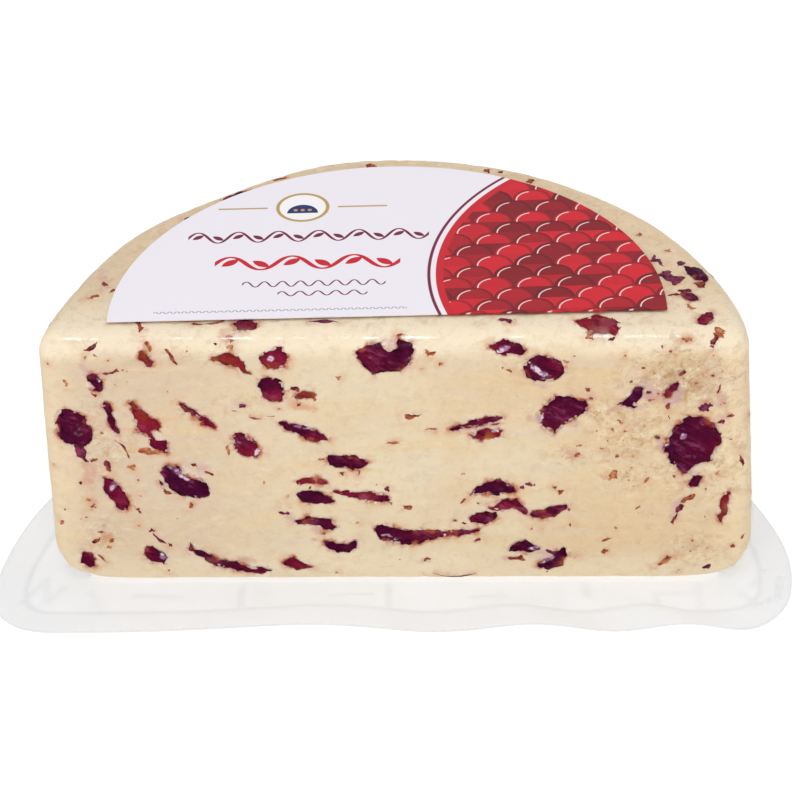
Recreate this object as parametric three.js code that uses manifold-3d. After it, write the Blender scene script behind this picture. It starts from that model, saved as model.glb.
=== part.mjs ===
// Vacuum-packed half wheel of cranberry wensleydale, cut face forward.
// Millimetres, +Z up. The origin is where the wheel's axis meets the underside of the base film,
// at the foot of the cut face: X runs along the cut face and +Y into the half wheel.
import * as THREE from 'three';
import { mergeVertices } from 'three/addons/utils/BufferGeometryUtils.js';
import Module from 'manifold-3d';

const wasm = await Module();
wasm.setup();

// Driving dimensions
const GAP = 0.3;                    // clearance kept between touching pieces
const WHEEL = { radius: 98.5, axisY: -1.8, front: 0, centreX: 0, corner: 4.5, frontSteps: 1 };
const WHEEL_TOP = 85;               // height of the flat top face
const TOP_EDGE = 5.8;               // rounding where the top meets the sides
const FOOT_EDGE = 13;               // rounding where the sides meet the base film
const FOOT_FRONT = 0.16;            // and the share of it by which the cut face curves under
const SHOULDER = 0.04;              // share by which the wheel is pressed in at its two shoulders
const SHOULDER_LEAN = -0.016;       // the left shoulder is pressed in more than the right one
const LUMPS = [                     // slow waves of the pressed rim: waves, size, phase in radians
  { waves: 3, size: 1.2, phase: 0.3 },
  { waves: 5, size: 1.8, phase: 0.85 },
  { waves: 7, size: 1.5, phase: 1.0 },
  { waves: 9, size: 0.7, phase: 1.7 },
];

const FILM = 0.7;                   // the sealed webs of film, drawn a little thicker than they are
const SKIRT = { radius: 113, axisY: -1.8, front: -22, centreX: -2.5, corner: 16, frontSteps: 32 };
const SEAL_BAND = 9;                // width of the sealed band along the hem
const HEM_LIFT = 2.8;               // how far the hem's waves rise from the surface it lies on
const RIM_LIFT = 1.8;               // and how far they rise round the curved side

const LABEL = { radius: 77.2, x: -1.6, y: 9.7, turn: 1.8, thickness: 0.3 };   // turn in degrees

const CORNER_STEPS = 4;
const RIM_STEPS = 46;
const EDGE_STEPS = 4;
const FRUIT_SIDES = 8;
const FRUIT_ROWS = 5;
const STREAK_ROWS = 7;              // a long streak bends, so it takes more rows than a chunk

const CHEESE_BASE = FILM + GAP;
const LABEL_BASE = WHEEL_TOP + GAP;
const BODY_MIDDLE = new THREE.Vector2(0, 40);

// Fruit cut through at the cut face. Each run is the line that the piece follows across the face,
// as [x, z, width] from one end to the other.
const FACE_FRUIT = [
  [[-91.3, 58.8, 9.2], [-88, 51.2, 10]],
  [[-84.8, 71.4, 2.4], [-81.7, 68.8, 5.2]],
  [[-80.4, 63.6, 2], [-77, 54, 2.4]],
  [[-72.8, 63, 3], [-69, 56, 5.6], [-64.8, 47.8, 6]],
  [[-58.6, 62.4, 2], [-50.6, 55, 1.7]],
  [[-80.8, 36.2, 4.2], [-77.2, 27.8, 5]],
  [[-64, 39.6, 7], [-59, 35.4, 8.4], [-54.2, 32.4, 5.5]],
  [[-89.3, 11.8, 3.4], [-88, 7.2, 3.8]],
  [[-71, 12.8, 4], [-67.7, 8.8, 6]],
  [[-58.8, 14, 2.6], [-55, 9.6, 2.6], [-48, 6.3, 3.6], [-40, 5, 4], [-36.4, 4.3, 2.4]],
  [[-69.4, 80, 2.2], [-66.8, 76.2, 2.8]],
  [[-49, 77.6, 1.8], [-44.6, 77.8, 3.4], [-39.8, 72.6, 2.5]],
  [[-34, 77, 7.2], [-30.6, 78.8, 7.4]],
  [[-34.4, 69.4, 6.5], [-32, 65.2, 7.2]],
  [[-27, 65, 1.5], [-21.8, 65.5, 1.9]],
  [[-30.4, 55.6, 3.6], [-25.2, 53, 4], [-19.2, 51, 3.5]],
  [[-43.8, 51.2, 5.5], [-40, 46.4, 7]],
  [[-17.6, 43.4, 4.6], [-9.4, 42.1, 4.3]],
  [[-27.4, 35.8, 2.9], [-23.8, 36.2, 1.7], [-19.6, 35.6, 1.2]],
  [[-27, 31.6, 3.8], [-19.2, 29.8, 4.6]],
  [[-17.8, 32.6, 1.4], [-10, 31.5, 2.7], [-3.2, 30.1, 3.9]],
  [[-28.6, 22.7, 2], [-23.8, 22.5, 3], [-19.4, 20.9, 4.8]],
  [[-20.4, 14.8, 2.2], [-17.4, 12.8, 2.8], [-12.4, 14, 3]],
  [[-32, 7.4, 3.6], [-29.4, 7, 4.8], [-24.8, 5.3, 1.9]],
  [[-7, 78.4, 9.6], [-2.4, 77.4, 10.6], [3.5, 80.6, 8.8]],
  [[28.4, 81.4, 5], [34.4, 80.4, 5.8]],
  [[38.6, 74, 8.2], [44.6, 73.4, 8.6]],
  [[43.9, 54.4, 6.8], [44.4, 59.6, 9.4], [51.4, 61.2, 7.6]],
  [[15.8, 54, 1.4], [22.6, 55.9, 2], [29.6, 57.6, 1.9]],
  [[20.6, 51.8, 1.6], [25.6, 51.9, 2.8], [29.6, 53.2, 1.4]],
  [[21.6, 32, 2.8], [27, 33.8, 5.8], [31, 34.1, 6.4]],
  [[20.8, 23.5, 4.1], [25.9, 23.9, 4.8]],
  [[37.6, 24.7, 2], [42.6, 25.4, 3.1], [47.2, 27.4, 2]],
  [[25.2, 26.5, 1.6], [31.8, 28, 3.2], [35.1, 24.8, 2.2]],
  [[-5.2, 19.6, 4.6], [-2.2, 17, 6.6], [4, 16.8, 4.2], [12, 18.1, 2.6], [22, 18.7, 1.9]],
  [[31.2, 11.6, 2.4], [35.4, 13.4, 4], [38.8, 12.4, 2.6]],
  [[38.4, 6.2, 2.2], [43, 7, 4.4], [46.4, 10.8, 4.2]],
  [[63.4, 62.3, 1.9], [66.5, 63.5, 3.8], [67.8, 66.9, 3.2]],
  [[75.7, 64.8, 2], [78.2, 69, 2.3]],
  [[80.4, 40.6, 7.4], [81.9, 46.6, 15], [83.6, 52.4, 16.8]],
  [[82.2, 34.7, 2.8], [84.4, 36.5, 2.9]],
  [[90.5, 22.4, 1.9], [91.5, 26.8, 2.7], [92.6, 31.4, 2]],
];

// Fruit at the top face, as [x, y, width].
const TOP_FRUIT = [
  [[-42.6, 7.6, 5], [-38, 6, 4.6]],
  [[52, 7.2, 4.2], [57.4, 6.2, 7], [62.2, 4.2, 4.2]],
  [[86.8, 10.8, 3], [85.4, 6.2, 3.2]],
  [[80, 21.4, 3.4], [83.6, 17.6, 3]],
  [[80.8, 33.6, 3.2], [86.2, 29.2, 4.6]],
  [[-50, 71.4, 3.4], [-42.8, 76, 3.8]],
];

// Fruit at the curved side: bearing round the wheel in degrees from +X, height, length across,
// width, and how far the piece leans.
const SIDE_FRUIT = [
  { bearing: 22, z: 52, length: 13, width: 9, lean: 30 },
  { bearing: 38, z: 24, length: 15, width: 5, lean: -10 },
  { bearing: 52, z: 66, length: 10, width: 8, lean: 60 },
  { bearing: 70, z: 38, length: 14, width: 6.5, lean: 12 },
  { bearing: 88, z: 59, length: 12, width: 9.5, lean: -40 },
  { bearing: 104, z: 20, length: 16, width: 5, lean: 8 },
  { bearing: 121, z: 47, length: 11, width: 8, lean: 75 },
  { bearing: 141, z: 68, length: 12, width: 5.5, lean: -15 },
  { bearing: 158, z: 30, length: 13, width: 9, lean: 25 },
];

// How the rim of a half moon stands off its radius at a bearing: pressed shoulders and slow waves.
function rimRadius(moon, bearing) {
  const shoulder = (SHOULDER + SHOULDER_LEAN * Math.cos(bearing)) * Math.sin(2 * bearing) ** 2;
  const waves = LUMPS.reduce((sum, l) => sum + l.size * Math.cos(l.waves * bearing + l.phase), 0);
  return moon.radius * (1 - shoulder) + waves * Math.sin(bearing);
}

// Plan outline of a half moon pulled in by an inset: front, right corner, rim, left corner.
function halfMoon(moon, inset, frontInset = inset) {
  const radius = moon.radius - inset;
  const front = moon.front + frontInset;
  const corner = Math.max(moon.corner - inset, 0.6);
  const rise = front + corner - moon.axisY;
  const reach = Math.sqrt((radius - corner) ** 2 - rise ** 2);
  const start = Math.atan2(rise, reach);
  const at = (x, y) => new THREE.Vector2(moon.centreX + x, y);
  const round = (side, angle) =>
    at(side * (reach + corner * Math.cos(angle)), front + corner + corner * Math.sin(angle));
  const outline = [];
  for (let i = 1; i < moon.frontSteps; i++) {
    outline.push(at(reach * (2 * i / moon.frontSteps - 1), front));
  }
  for (let i = 0; i < CORNER_STEPS; i++) {
    outline.push(round(1, -Math.PI / 2 + (start + Math.PI / 2) * i / CORNER_STEPS));
  }
  for (let i = 0; i <= RIM_STEPS; i++) {
    const bearing = start + (Math.PI - 2 * start) * i / RIM_STEPS;
    const r = rimRadius(moon, bearing) - inset;
    outline.push(at(r * Math.cos(bearing), moon.axisY + r * Math.sin(bearing)));
  }
  for (let i = CORNER_STEPS - 1; i >= 0; i--) {
    outline.push(round(-1, -Math.PI / 2 + (start + Math.PI / 2) * i / CORNER_STEPS));
  }
  return outline;
}

// A closed body of stacked half-moon outlines. Each ring is { inset, frontInset, z, lift }, from the
// middle of the underside out and round to the middle of the top; lift moves points by their place.
function moonBody(moon, rings) {
  const outlines = rings.map((ring) => halfMoon(moon, ring.inset, ring.frontInset));
  const columns = outlines[0].length;
  const profile = [
    new THREE.Vector2(0, rings[0].z),
    ...rings.map((ring) => new THREE.Vector2(1, ring.z)),
    new THREE.Vector2(0, rings.at(-1).z),
  ];
  const geometry = new THREE.LatheGeometry(profile, columns);
  const position = geometry.attributes.position;
  for (let column = 0; column <= columns; column++) {
    for (let row = 0; row < profile.length; row++) {
      const ring = rings[row - 1];
      const isPole = row === 0 || row === profile.length - 1;
      const p = isPole ? BODY_MIDDLE : outlines[row - 1][column % columns];
      const lift = !isPole && ring.lift ? ring.lift(p) : 0;
      position.setXYZ(column * profile.length + row, p.x, p.y, profile[row].y + lift);
    }
  }
  return solid(geometry);
}

// A manifold from a three.js geometry whose shared vertices are merged.
function solid(geometry) {
  const bare = geometry.clone();
  bare.deleteAttribute('normal');
  bare.deleteAttribute('uv');
  const merged = mergeVertices(bare, 1e-4);
  const index = merged.index.array;
  const triangles = [];
  for (let i = 0; i < index.length; i += 3) {
    const [a, b, c] = index.slice(i, i + 3);
    if (a !== b && b !== c && c !== a) triangles.push(a, b, c);
  }
  const vertProperties = new Float32Array(merged.attributes.position.array);
  const mesh = new wasm.Mesh({ numProp: 3, vertProperties, triVerts: new Uint32Array(triangles) });
  return new wasm.Manifold(mesh);
}

// The three.js geometry of a manifold.
function geometryOf(manifold) {
  const { numProp, vertProperties, triVerts } = manifold.getMesh();
  const geometry = new THREE.BufferGeometry();
  geometry.setAttribute('position', new THREE.BufferAttribute(vertProperties, numProp));
  geometry.setIndex(new THREE.BufferAttribute(triVerts, 1));
  return geometry;
}

// Rings of a rounded edge, from the flat out to the wall (or back), by a quarter circle.
function roundedEdge(radius, flatZ, turn) {
  return Array.from({ length: EDGE_STEPS + 1 }, (_, i) => {
    const angle = Math.PI / 2 * (turn > 0 ? i : EDGE_STEPS - i) / EDGE_STEPS;
    return { inset: radius * (1 - Math.sin(angle)), z: flatZ + turn * radius * (1 - Math.cos(angle)) };
  });
}

function wheelBody() {
  const foot = roundedEdge(FOOT_EDGE, CHEESE_BASE, 1);
  return moonBody(WHEEL, [
    ...foot.map((ring) => ({ ...ring, frontInset: ring.inset * FOOT_FRONT })),
    ...roundedEdge(TOP_EDGE, WHEEL_TOP, -1),
  ]);
}

// How high the sealed band stands at a point: waves that shorten towards the right along the
// front, and slow ones round the rim.
function hemLift(p) {
  const frontWaves = 0.65 + 0.03 * p.x + 0.000144 * p.x ** 2;
  const front = HEM_LIFT * (0.5 + 0.5 * Math.cos(Math.PI * frontWaves));
  const rim = RIM_LIFT * (0.5 + 0.5 * Math.sin(p.x / 14 + p.y / 11));
  return THREE.MathUtils.lerp(front, rim, THREE.MathUtils.smoothstep(p.y, -14, 20));
}

function skirtBody() {
  return moonBody(SKIRT, [
    { inset: SEAL_BAND * 2, z: 0 },
    { inset: SEAL_BAND, z: 0, lift: hemLift },
    { inset: 0, z: 0, lift: hemLift },
    { inset: 0, z: FILM, lift: hemLift },
    { inset: SEAL_BAND, z: FILM, lift: hemLift },
    { inset: SEAL_BAND * 2, z: FILM },
  ]);
}

function labelPlate() {
  const outline = new THREE.Shape();
  outline.absarc(0, 0, LABEL.radius, 0, Math.PI);
  outline.closePath();
  const plate = new THREE.ExtrudeGeometry(outline, {
    depth: LABEL.thickness,
    curveSegments: 48,
    bevelEnabled: false,
  });
  plate.rotateZ(THREE.MathUtils.degToRad(LABEL.turn));
  plate.translate(LABEL.x, LABEL.y, LABEL_BASE);
  return plate;
}

// A piece of fruit: a ball drawn out along its run, as wide as the run says and half as deep.
// It is made in the plane of the surface it shows at (u, v) with w into the cheese.
function fruitBody(run, grow) {
  const rows = run.length > 2 ? STREAK_ROWS : FRUIT_ROWS;
  const line = new THREE.CatmullRomCurve3(run.map(([u, v]) => new THREE.Vector3(u, v, 0)));
  const widths = new THREE.CatmullRomCurve3(run.map(([, , width]) => new THREE.Vector3(width, 0, 0)));
  const ball = new THREE.SphereGeometry(1, FRUIT_SIDES, rows);
  const position = ball.attributes.position;
  for (let i = 0; i < position.count; i++) {
    const along = position.getY(i);
    const share = 0.5 + 0.5 * along;
    const halfWidth = widths.getPoint(share).x / 2 + grow;
    const middle = line.getPoint(share);
    const heading = line.getTangent(share);
    const side = position.getX(i) * halfWidth;
    const cap = along * (halfWidth * 0.6);
    position.setXYZ(
      i,
      middle.x + heading.y * side + heading.x * cap,
      middle.y - heading.x * side + heading.y * cap,
      position.getZ(i) * (halfWidth * 0.75 + grow),
    );
  }
  return solid(ball);
}

function onFace(fruit) {
  return fruit.transform([1, 0, 0, 0, 0, 0, 1, 0, 0, 1, 0, 0, 0, 0, 0, 1]);
}

function onTop(fruit) {
  return fruit.transform([1, 0, 0, 0, 0, 1, 0, 0, 0, 0, 1, 0, 0, 0, WHEEL_TOP, 1]);
}

function onSide(fruit, bearing) {
  const a = THREE.MathUtils.degToRad(bearing);
  const r = rimRadius(WHEEL, a);
  return fruit.transform([
    -Math.sin(a), Math.cos(a), 0, 0,
    0, 0, 1, 0,
    Math.cos(a), Math.sin(a), 0, 0,
    r * Math.cos(a), WHEEL.axisY + r * Math.sin(a), 0, 1,
  ]);
}

// A side piece's run: a straight line through its middle height.
function sideRun({ z, length, width, lean }) {
  const a = THREE.MathUtils.degToRad(lean);
  const half = (length - width * 0.6) / 2;
  return [
    [-half * Math.cos(a), z - half * Math.sin(a), width * 0.9],
    [half * Math.cos(a), z + half * Math.sin(a), width],
  ];
}

const wheel = wheelBody();
const placed = [
  ...FACE_FRUIT.map((run) => (grow) => onFace(fruitBody(run, grow))),
  ...TOP_FRUIT.map((run) => (grow) => onTop(fruitBody(run, grow))),
  ...SIDE_FRUIT.map((piece) => (grow) => onSide(fruitBody(sideRun(piece), grow), piece.bearing)),
];
const pockets = placed.map((make) => make(GAP));
const cheese = pockets.reduce((body, pocket) => body.subtract(pocket), wheel);

const cheeseMaterial = new THREE.MeshStandardMaterial({ color: 0xecdcb8, roughness: 0.55, metalness: 0 });
const fruitMaterial = new THREE.MeshStandardMaterial({ color: 0x5a1630, roughness: 0.4, metalness: 0 });
const filmMaterial = new THREE.MeshStandardMaterial({
  color: 0xeeeeec,
  roughness: 0.15,
  metalness: 0,
  transparent: true,
  opacity: 0.4,
});
const labelMaterial = new THREE.MeshStandardMaterial({ color: 0xebe8f0, roughness: 0.35, metalness: 0 });

const group = new THREE.Group();

function addPiece(name, geometry, material) {
  const mesh = new THREE.Mesh(geometry, material);
  mesh.name = name;
  group.add(mesh);
}

addPiece('cheese', geometryOf(cheese), cheeseMaterial);
addPiece('film_flange', geometryOf(skirtBody()), filmMaterial);
addPiece('label', labelPlate(), labelMaterial);
placed.forEach((make, i) => {
  const piece = make(0).intersect(wheel);
  addPiece(`cranberry_${String(i + 1).padStart(2, '0')}`, geometryOf(piece), fruitMaterial);
});

export default group;
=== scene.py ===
"""A vacuum-packed half wheel of cranberry wensleydale, cut face forward, with a label on top."""
import math
import random

import bpy
import numpy as np
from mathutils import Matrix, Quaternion, Vector, noise
from mathutils.bvhtree import BVHTree
from mathutils.geometry import convex_hull_2d
from mathutils.kdtree import KDTree


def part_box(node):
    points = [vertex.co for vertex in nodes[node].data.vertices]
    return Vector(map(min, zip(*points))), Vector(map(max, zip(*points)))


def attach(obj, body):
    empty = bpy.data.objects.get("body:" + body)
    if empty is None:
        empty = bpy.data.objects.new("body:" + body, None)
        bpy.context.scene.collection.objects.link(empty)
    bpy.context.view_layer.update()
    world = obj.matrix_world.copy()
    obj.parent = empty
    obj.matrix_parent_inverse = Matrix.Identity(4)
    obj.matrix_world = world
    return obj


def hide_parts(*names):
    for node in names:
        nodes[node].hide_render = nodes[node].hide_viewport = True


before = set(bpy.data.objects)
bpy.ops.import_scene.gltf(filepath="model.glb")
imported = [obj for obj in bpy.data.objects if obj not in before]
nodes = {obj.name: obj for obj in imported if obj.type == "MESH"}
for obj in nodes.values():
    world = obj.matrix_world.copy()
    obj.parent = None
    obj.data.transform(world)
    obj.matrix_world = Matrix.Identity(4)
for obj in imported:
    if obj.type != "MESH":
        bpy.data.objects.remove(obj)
bpy.ops.object.select_all(action="DESELECT")
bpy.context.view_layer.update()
MM = 0.001


# --- Studio --------------------------------------------------------------------------------------
# A white table lit from within, even light all round, a large overhead softbox, broad lights in
# front and behind, and a strip that makes the film glint along the top edge. A long lens looks down
# on the cut face.

AIM = Vector((-0.7, 40.27, 36.03)) * MM
CAMERA_REACH = 1.4


def set_up_camera():
    azimuth, elevation, roll = (math.radians(a) for a in (3.54, 34.66, -2.28))
    back = Vector((
        math.sin(azimuth) * math.cos(elevation),
        -math.cos(azimuth) * math.cos(elevation),
        math.sin(elevation),
    ))
    bpy.ops.object.camera_add(location=AIM + back * CAMERA_REACH)
    camera = bpy.context.object
    camera.rotation_mode = "QUATERNION"
    camera.rotation_quaternion = back.to_track_quat("Z", "Y") @ Quaternion((0, 0, 1), roll)
    camera.data.lens = 220.3
    camera.data.sensor_width = 36
    bpy.context.scene.camera = camera


def softbox(name, place, aim, size, power):
    bpy.ops.object.light_add(type="AREA", location=place)
    lamp = bpy.context.object
    lamp.name = name
    lamp.data.shape = "RECTANGLE"
    lamp.data.size, lamp.data.size_y = size
    lamp.data.energy = power
    lamp.rotation_mode = "QUATERNION"
    lamp.rotation_quaternion = (Vector(place) - Vector(aim)).to_track_quat("Z", "Y")


def set_up_floor():
    bpy.ops.mesh.primitive_plane_add(size=6)
    floor = bpy.context.object
    floor.name = "floor"
    paint = bpy.data.materials.new("white_table")
    paint.use_nodes = True
    shader = paint.node_tree.nodes["Principled BSDF"]
    shader.inputs["Base Color"].default_value = (0.35, 0.35, 0.35, 1)
    shader.inputs["Roughness"].default_value = 0.9
    shader.inputs["Specular IOR Level"].default_value = 0.0
    shader.inputs["Emission Color"].default_value = (1, 1, 1, 1)
    shader.inputs["Emission Strength"].default_value = 0.8
    floor.data.materials.append(paint)


set_up_camera()
set_up_floor()
softbox("overhead", (0, 0.15, 1.3), (0, 0.04, 0), (1.4, 1.4), 5.9)
softbox("front_fill", (-0.2, -1.6, 0.5), (0, 0.04, 0.03), (1.5, 0.7), 5.9)
softbox("back_fill", (0.2, 1.7, 0.4), (0, 0.05, 0.03), (1.5, 0.7), 2.0)
softbox("glint_strip", (-0.07, -0.5, 0.95), (0, 0, 0.08), (0.26, 0.08), 1.6)
world = bpy.data.worlds.new("studio")
world.use_nodes = True
world.node_tree.nodes["Background"].inputs["Color"].default_value = (1, 1, 1, 1)
world.node_tree.nodes["Background"].inputs["Strength"].default_value = 0.5
bpy.context.scene.world = world
bpy.context.scene.view_settings.view_transform = "Standard"


# --- Cranberries ---------------------------------------------------------------------------------
# Sweetened dried cranberries, soft and dark, stirred through the curd and cut through with it.
# Each starts as its solid from the frame, is remeshed finely and then torn and wrinkled.

def srgb(red, green, blue):
    """A linear colour from the 0-255 values that a colour card is marked with."""
    def linear(value):
        share = value / 255
        return share / 12.92 if share <= 0.04045 else ((share + 0.055) / 1.055) ** 2.4
    return (linear(red), linear(green), linear(blue), 1.0)


class Wire:
    """A socket of one material. Sums on wires add Math nodes, and node() adds any other."""

    def __init__(self, tree, socket=None):
        self.tree = tree
        self.socket = socket

    def node(self, kind, settings=None, inputs=None, out=0):
        made = self.tree.nodes.new(kind)
        for name, value in (settings or {}).items():
            if name == "stops":
                self.set_stops(made.color_ramp, value)
            else:
                setattr(made, name, value)
        for key, value in (inputs or {}).items():
            if isinstance(value, Wire):
                self.tree.links.new(value.socket, made.inputs[key])
            else:
                made.inputs[key].default_value = value
        return Wire(self.tree, made.outputs[out])

    @staticmethod
    def set_stops(band, stops):
        while len(band.elements) < len(stops):
            band.elements.new(1)
        for element, (position, colour) in zip(band.elements, stops):
            element.position = position
            element.color = colour

    def math(self, operation, *values):
        return self.node("ShaderNodeMath", {"operation": operation}, dict(enumerate(values)))

    def __add__(self, other):
        return self.math("ADD", self, other)

    __radd__ = __add__

    def __sub__(self, other):
        return self.math("SUBTRACT", self, other)

    def __rsub__(self, other):
        return self.math("SUBTRACT", other, self)

    def __mul__(self, other):
        return self.math("MULTIPLY", self, other)

    __rmul__ = __mul__

    def __truediv__(self, other):
        return self.math("DIVIDE", self, other)

    def rise(self, start, end):
        """0 up to start, 1 from end on, and a smooth step between them."""
        settings = {"interpolation_type": "SMOOTHSTEP"}
        return self.node("ShaderNodeMapRange", settings, {0: self, 1: start, 2: end})

    def within(self, limit, soft):
        """1 where this wire is nearer to 0 than a limit, with an edge of the given softness."""
        return self.math("ABSOLUTE", self).rise(limit + soft, limit - soft)

    def fraction(self):
        return self.math("FRACT", self)

    def whole(self):
        return self.math("FLOOR", self)

    def mix(self, first, second):
        """first where this wire is 0, second where it is 1; both are colours."""
        settings = {"data_type": "RGBA", "clamp_factor": True}
        return self.node("ShaderNodeMix", settings, {0: self, 6: first, 7: second}, out=2)


class Paint:
    """A new material: places and noises to work its masks out from, and its Principled shader."""

    def __init__(self, name, constants):
        self.material = bpy.data.materials.new(name)
        self.material.use_nodes = True
        self.tree = self.material.node_tree
        self.shader = self.tree.nodes["Principled BSDF"]
        for key, value in constants.items():
            self.shader.inputs[key].default_value = value
        self.wire = Wire(self.tree)
        self.place = self.wire.node("ShaderNodeTexCoord", out=3)

    def axes(self):
        """The place along x, y and z, in millimetres."""
        split = self.wire.node("ShaderNodeSeparateXYZ", None, {0: self.place}).socket.node
        return [Wire(self.tree, output) * (1 / MM) for output in split.outputs]

    def attribute(self, name):
        return self.wire.node("ShaderNodeAttribute", {"attribute_name": name}, out=2)

    def stretched(self, x, y, z):
        inputs = {"Vector": self.place, "Scale": (x, y, z)}
        return self.wire.node("ShaderNodeMapping", {"vector_type": "POINT"}, inputs)

    def grain(self, size, detail=3, roughness=0.5, place=None, distortion=0.0):
        """Noise from 0 to 1 whose lumps are about size metres across."""
        inputs = {
            "Vector": place or self.place,
            "Scale": 1 / size,
            "Detail": detail,
            "Roughness": roughness,
            "Distortion": distortion,
        }
        return self.wire.node("ShaderNodeTexNoise", None, inputs)

    def slanted(self, turn, along, across):
        """The place, for a texture drawn out along a line at an angle in the cut face."""
        inputs = {"Vector": self.place, "Rotation": (0, turn, 0), "Scale": (along, 1, across)}
        return self.wire.node("ShaderNodeMapping", {"vector_type": "TEXTURE"}, inputs)

    def bump(self, height, distance, strength=1.0):
        inputs = {"Height": height, "Distance": distance, "Strength": strength}
        return self.wire.node("ShaderNodeBump", None, inputs)

    def feed(self, links):
        for key, value in links.items():
            self.tree.links.new(value.socket, self.shader.inputs[key])


def points_of(piece):
    """The vertices of a piece, in millimetres."""
    flat = np.empty(len(piece.data.vertices) * 3)
    piece.data.vertices.foreach_get("co", flat)
    return flat.reshape(-1, 3) / MM


def normals_of(piece):
    flat = np.empty(len(piece.data.vertices) * 3)
    piece.data.vertex_normals.foreach_get("vector", flat)
    return flat.reshape(-1, 3)


def move_points(piece, points):
    piece.data.vertices.foreach_set("co", (points * MM).ravel())
    piece.data.update()


def mark(piece, name, values):
    """Stores one number at each vertex, for the piece's material to read."""
    layer = piece.data.attributes.new(name, "FLOAT", "POINT")
    layer.data.foreach_set("value", np.asarray(values, np.float32))


def only(piece):
    """Makes a piece the one that operators act on."""
    bpy.ops.object.select_all(action="DESELECT")
    piece.select_set(True)
    bpy.context.view_layer.objects.active = piece


def joined(pieces, name):
    bpy.ops.object.select_all(action="DESELECT")
    for piece in pieces:
        piece.select_set(True)
    bpy.context.view_layer.objects.active = pieces[0]
    bpy.ops.object.join()
    pieces[0].name = name
    return pieces[0]


def rough(point, size, seed):
    """A smooth random vector, each part from about -1 to 1, that changes over size millimetres."""
    spot = Vector(point) / size + Vector((seed, 7.1 * seed, 3.3))
    return np.array([noise.noise(spot + Vector((shift, 0, 0))) for shift in (0, 31.7, 67.3)])


def ramp(values, start, end):
    """0 up to start, 1 from end on, and straight between them."""
    return np.clip((values - start) / (end - start), 0, 1)


WHEEL_LOW, WHEEL_HIGH = (np.array(corner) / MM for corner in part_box("cheese"))
MIDDLE = np.array((0.0, 40.0))       # a point well inside every part's plan outline,
HEART = np.array((0, 40, 42))        # and one well inside the half wheel
FACE_DEPTH = 4                       # how far back the cut face and its edges reach
TOP_EDGE = 5.8                       # rounding of the top edge
FOOT_EDGE = 13.0                     # rounding of the bottom edge
FOOT_FRONT = 0.16                    # and the share of it by which the cut face curves under
SPARED_DEPTH = 36                    # how far back that share goes on changing
DENT = 0.9                           # how far inside its neighbours a point of an outline may lie
SLIP = 0.12                          # how much nearer than its inset a point pulled in may come
SAG = 1.0                            # how far the right end has settled outwards
CURL = 1.8                           # how far the foot is drawn up towards the ends
WALL_COLUMNS = 500                   # columns of points round the half wheel
UNDER_RINGS = 13                     # rings of them on its flat underside
FOOT_RINGS = 19                      # round the bottom edge
SIDE_RINGS = 82                      # up the side
SHOULDER_RINGS = 9                   # and round the top edge


def bearings(points):
    return np.arctan2(points[:, 1] - MIDDLE[1], points[:, 0] - MIDDLE[0])


def reaches(points):
    return np.hypot(points[:, 1] - MIDDLE[1], points[:, 0] - MIDDLE[0])


def outline_of(points):
    """The points that make a plan outline, in order: any that lies inside its neighbours goes."""
    points = np.unique(np.round(points[:, :2], 3), axis=0)
    points = points[np.argsort(bearings(points))]
    while True:
        before, after = np.roll(points, 1, axis=0), np.roll(points, -1, axis=0)
        chord = after - before
        lean = points - before
        inside = (chord[:, 0] * lean[:, 1] - chord[:, 1] * lean[:, 0]) / np.hypot(*chord.T)
        if inside.max() < DENT:
            return points
        points = np.delete(points, inside.argmax(), axis=0)


def evenly(points, count, front_pace=1.0):
    """A closed outline in even steps, shorter along the front by a pace."""
    loop = np.vstack([points, points[:1]])
    pace = np.where((loop[1:, 1] + loop[:-1, 1]) / 2 < FACE_DEPTH, 1 / front_pace, 1)
    run = np.r_[0, np.cumsum(np.hypot(*np.diff(loop, axis=0).T) * pace)]
    steps = np.linspace(0, run[-1], count + 1)
    return np.c_[np.interp(steps, run, loop[:, 0]), np.interp(steps, run, loop[:, 1])]


def pulled_in(outline, inset, spared=0.0):
    """A closed outline moved inwards by an inset, less the part of it the front is spared.

    Points that the move brings nearer than the inset to another stretch of it are dropped.
    """
    loop = outline[:-1]
    heading = np.roll(loop, -1, axis=0) - np.roll(loop, 1, axis=0)
    normal = np.c_[heading[:, 1], -heading[:, 0]] / np.hypot(*heading.T)[:, None]
    moved = loop - normal * inset
    gaps = np.linalg.norm(moved[:, None] - loop[None], axis=2).min(axis=1)
    kept = moved[gaps > abs(inset) - SLIP]
    reach = np.interp(bearings(outline), *by_bearing(kept), period=2 * math.pi)
    away = outline - MIDDLE
    result = MIDDLE + away * (reach / np.hypot(*away.T))[:, None]
    result[:, 1] -= spared * ramp(result[:, 1] - inset, SPARED_DEPTH, 0) ** 2
    return result


def by_bearing(points):
    order = np.argsort(bearings(points))
    return bearings(points)[order], reaches(points)[order]


def at_height(outline, z):
    return np.c_[outline, np.full(len(outline), z) if np.isscalar(z) else z]


cheese_points = points_of(nodes["cheese"])
at_wall = np.abs(cheese_points[:, 2] - (WHEEL_HIGH[2] - TOP_EDGE)) < 0.02
wall = evenly(outline_of(cheese_points[at_wall]), WALL_COLUMNS, 0.55)


def sagged(ring):
    """A ring of the half wheel, let out low down at the right, its foot drawn up at the ends."""
    across, up = ring[:, 0], ring[:, 2]
    settled = ramp(across, 60, 98) ** 2 * ramp(up, 76, 31)
    curled = ramp(np.abs(across), 74, 94) ** 2 * ramp(up, 30, 0)
    return ring + settled[:, None] * (SAG, 0, 0) + curled[:, None] * (0, 0, CURL)


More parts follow.
